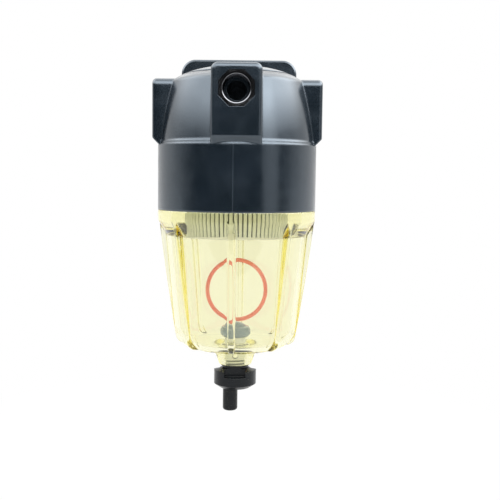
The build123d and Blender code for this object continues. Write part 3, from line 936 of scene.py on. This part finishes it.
STEM_CREASE = 50
STEM_EDGE = 0.4
STEM_ROOT = 5.3
STEM_PITCH = 2.0
STEM_ROWS_PER_PITCH = 10
STEM_FADE_ROWS = 6
STUB_RADIUS = 3.0
STUB_LENGTH = 5.0
STUB_EDGE = 0.3
STUB_FOOT = 0.2
SEAL_PLACE = INNER_FLOOR - 1.6
SEAL_SECTION = 1.45
SEAL_GROOVE_DEPTH = 1.5
SEAL_GROOVE_EDGE = 0.2
SEAL_GROOVE_CORNER = 0.1
STEM_BORE = 2.4
CROSS_HOLE = 1.5
CROSS_PLACE = INNER_FLOOR - 4.9
CROSS_REACH = 8.0
CROSS_SIDES = 48


def stem_outline(top):
    """The stem's outside, from its stub's top down to where its thread starts."""
    seal_high, seal_low = SEAL_PLACE + SEAL_SECTION / 2, SEAL_PLACE - SEAL_SECTION / 2
    groove = stem_radius - SEAL_GROOVE_DEPTH
    return profile([
        (STEM_BORE, top, 0),
        (STUB_RADIUS, top, STUB_EDGE),
        (STUB_RADIUS, top - STUB_LENGTH, STUB_FOOT),
        (stem_radius, top - STUB_LENGTH, STEM_EDGE),
        (stem_radius, seal_high, SEAL_GROOVE_EDGE),
        (groove, seal_high, SEAL_GROOVE_CORNER),
        (groove, seal_low, SEAL_GROOVE_CORNER),
        (stem_radius, seal_low, SEAL_GROOVE_EDGE),
        (stem_radius, RELIEF_LOW, 0),
    ], spacing=1.0)


def stem_mesh():
    """The stem's skin, from the stub's top down the outside and up the bore to its blind end."""
    low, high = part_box("drain_stem")
    bottom = low.z / MM
    rows = plain_rows(stem_outline(high.z / MM))
    thread_end = bottom + STEM_EDGE
    depth = stem_radius - STEM_ROOT
    steps = round((RELIEF_LOW - bottom - STEM_EDGE) / STEM_PITCH * STEM_ROWS_PER_PITCH)
    for i in range(1, steps + 1):
        height = RELIEF_LOW + (thread_end - RELIEF_LOW) * i / steps
        fade = min(1.0, i / STEM_FADE_ROWS, (steps - i) / STEM_FADE_ROWS)
        rows.append(thread_row(stem_radius, height, stem_radius, depth * fade, STEM_PITCH))
    rows += plain_rows([(stem_radius - STEM_EDGE, bottom), (STEM_BORE, bottom), (STEM_BORE, CROSS_PLACE)])
    return grid_mesh("threaded_stem", rows, STEM_CREASE, ends=True)


def cutter_mesh(radius, start, end):
    """A round bar from one point to another, in metres, its far end first."""
    run = end - start
    tilt = run.to_track_quat("Z", "Y")
    turns = [2 * math.pi * i / CROSS_SIDES for i in range(CROSS_SIDES)]
    ring = [tilt @ Vector((radius * math.cos(turn), radius * math.sin(turn), 0)) for turn in turns]
    rows = [[tuple(start + run * place + point) for point in ring] for place in (1, 0)]
    return grid_mesh("cutter", rows, STEM_CREASE, ends=True)


def drill(piece, radius, start, end):
    """Cuts a round hole through a piece, from one point to another."""
    cutter = new_object("cutter", cutter_mesh(radius, start, end))
    cut = piece.modifiers.new("cross_hole", "BOOLEAN")
    cut.operation = "DIFFERENCE"
    cut.solver = "EXACT"
    cut.object = cutter
    graph = bpy.context.evaluated_depsgraph_get()
    piece.data = bpy.data.meshes.new_from_object(piece.evaluated_get(graph))
    piece.modifiers.clear()
    bpy.data.objects.remove(cutter)
    smooth_with_creases(piece.data, STEM_CREASE)


stem = add_piece(stem_mesh(), stem_pale, "drain_valve", "drain_stem")
cross_ends = [Vector((0, axis_y + side * CROSS_REACH * MM, CROSS_PLACE * MM)) for side in (-1, 1)]
drill(stem, CROSS_HOLE * MM, *cross_ends)


# Light, floor and camera, in metres and degrees

CAMERA_PLACE = (0.0076, -0.557, -0.0594)
CAMERA_PITCH = 5.03
CAMERA_ROLL = -0.65
CAMERA_LENS = 62.1
SENSOR_WIDTH = 36.0
CLIP_START = 0.01

FLOOR_GAP = 0.017
FLOOR_FRONT = -0.4
FLOOR_REACH = 4.0
FLOOR_GREY = (0.85, 0.85, 0.85, 1)
SHADOW_RANGE = (0.06, 0.18)
WHITE_NEARBY = 0.85
WHITE = (1, 1, 1, 1)

# The world's light by direction: a coordinate's low and high, and the levels that these give
ROOM_BY_Y = (-0.45, 0.3, 0.04, 1.0)
PANEL_BY_Z = (0.22, 0.45, 0.0, 1.0)
CEILING_BY_Z = (0.75, 1.0, 1.0, 0.3)
PANEL_BY_Y = (0.2, 0.7, 1.0, 0.2)
PANEL_BY_X = (-0.6, 0.6, 0.85, 1.3)
PANEL_IN_GLOSS = (0.0, 1.0, 1.3, 5.4)

HEAD_MIDDLE = (0, axis_y, -0.03)
BOWL_MIDDLE = (0, axis_y, -0.1)
MAX_BOUNCES = 96
CLEAR_BOUNCES = 64


def make_camera():
    """The camera at the photograph's viewing angle."""
    data = bpy.data.cameras.new("camera")
    data.lens = CAMERA_LENS
    data.sensor_width = SENSOR_WIDTH
    data.clip_start = CLIP_START
    camera = new_object("camera", data)
    camera.location = CAMERA_PLACE
    camera.rotation_euler = (math.radians(90 - CAMERA_PITCH), math.radians(CAMERA_ROLL), 0)
    bpy.context.scene.camera = camera


def seen(tree):
    """1 for what the camera sees, straight or through the bowl, and 0 for other light."""
    ray = tree.nodes.new("ShaderNodeLightPath")
    return combine(tree, "MAXIMUM", ray.outputs["Is Camera Ray"], ray.outputs["Is Transmission Ray"])


def floor_material(height):
    """Pale in other light and white to the camera, with a little of the shadow left near the object."""
    material, tree, shader = new_material("pale_floor")
    set_inputs(shader, {"Base Color": FLOOR_GREY, "Roughness": 0.9, "Specular IOR Level": 0.0})
    glow = tree.nodes.new("ShaderNodeEmission")
    glow.inputs["Color"].default_value = WHITE
    reach = distance_from(tree, ALL_AXES, (0, axis_y, height))
    share = remap(tree, reach, *SHADOW_RANGE, WHITE_NEARBY, 1.0)
    mix = tree.nodes.new("ShaderNodeMixShader")
    tree.links.new(combine(tree, "MULTIPLY", seen(tree), share), mix.inputs["Fac"])
    tree.links.new(shader.outputs["BSDF"], mix.inputs[1])
    tree.links.new(glow.outputs["Emission"], mix.inputs[2])
    tree.links.new(mix.outputs["Shader"], tree.nodes["Material Output"].inputs["Surface"])
    return material


def make_floor():
    """A wide floor, far enough below the drain tube for the bowl and the drain to open."""
    height = cad_low.z - FLOOR_GAP
    front = [(x, FLOOR_FRONT, height) for x in (-FLOOR_REACH, FLOOR_REACH)]
    back = [(x, FLOOR_REACH, height) for x in (FLOOR_REACH, -FLOOR_REACH)]
    mesh = bpy.data.meshes.new("floor")
    mesh.from_pydata(front + back, [], [(0, 1, 2, 3)])
    floor = new_object("floor", mesh)
    mesh.materials.append(floor_material(height))


def make_world():
    """White to the camera and through the bowl; other light is dark in front, white behind and above."""
    world = bpy.data.worlds.new("studio")
    bpy.context.scene.world = world
    world.use_nodes = True
    tree = world.node_tree
    x, y, z = coordinates(tree, "Generated")
    gloss = tree.nodes.new("ShaderNodeLightPath").outputs["Is Glossy Ray"]
    panel = remap(tree, z, *PANEL_BY_Z)
    for value, span in ((z, CEILING_BY_Z), (y, PANEL_BY_Y), (x, PANEL_BY_X), (gloss, PANEL_IN_GLOSS)):
        panel = combine(tree, "MULTIPLY", panel, remap(tree, value, *span))
    lit = combine(tree, "ADD", remap(tree, y, *ROOM_BY_Y), panel)
    level = tree.nodes.new("ShaderNodeMix")
    tree.links.new(seen(tree), level.inputs["Factor"])
    tree.links.new(lit, level.inputs["A"])
    level.inputs["B"].default_value = 1.0
    background = tree.nodes["Background"]
    background.inputs["Color"].default_value = WHITE
    tree.links.new(level.outputs["Result"], background.inputs["Strength"])


def area_light(name, place, target, width, height, power):
    """A soft rectangular lamp that looks at a point, hidden from the camera and behind the clear bowl."""
    data = bpy.data.lights.new(name, "AREA")
    data.shape = "RECTANGLE"
    data.size = width
    data.size_y = height
    data.energy = power
    lamp = new_object(name, data)
    lamp.location = place
    lamp.rotation_euler = (Vector(target) - Vector(place)).to_track_quat("-Z", "Y").to_euler()
    lamp.visible_camera = False
    lamp.visible_transmission = False
    return lamp


make_camera()
make_floor()
make_world()
area_light("front_softbox", (0.2, axis_y - 0.78, 0.72), HEAD_MIDDLE, width=1.8, height=1.1, power=4)
area_light("right_strip", (0.75, axis_y - 0.65, 0.1), HEAD_MIDDLE, width=0.4, height=0.9, power=1.0)
fill = area_light("front_fill", (0.0, axis_y - 1.0, -0.12), BOWL_MIDDLE, width=1.0, height=0.5, power=4)
fill.visible_glossy = False
cycles = bpy.context.scene.cycles
cycles.max_bounces = MAX_BOUNCES
cycles.glossy_bounces = CLEAR_BOUNCES
cycles.transmission_bounces = CLEAR_BOUNCES
bpy.context.scene.view_settings.view_transform = "Standard"
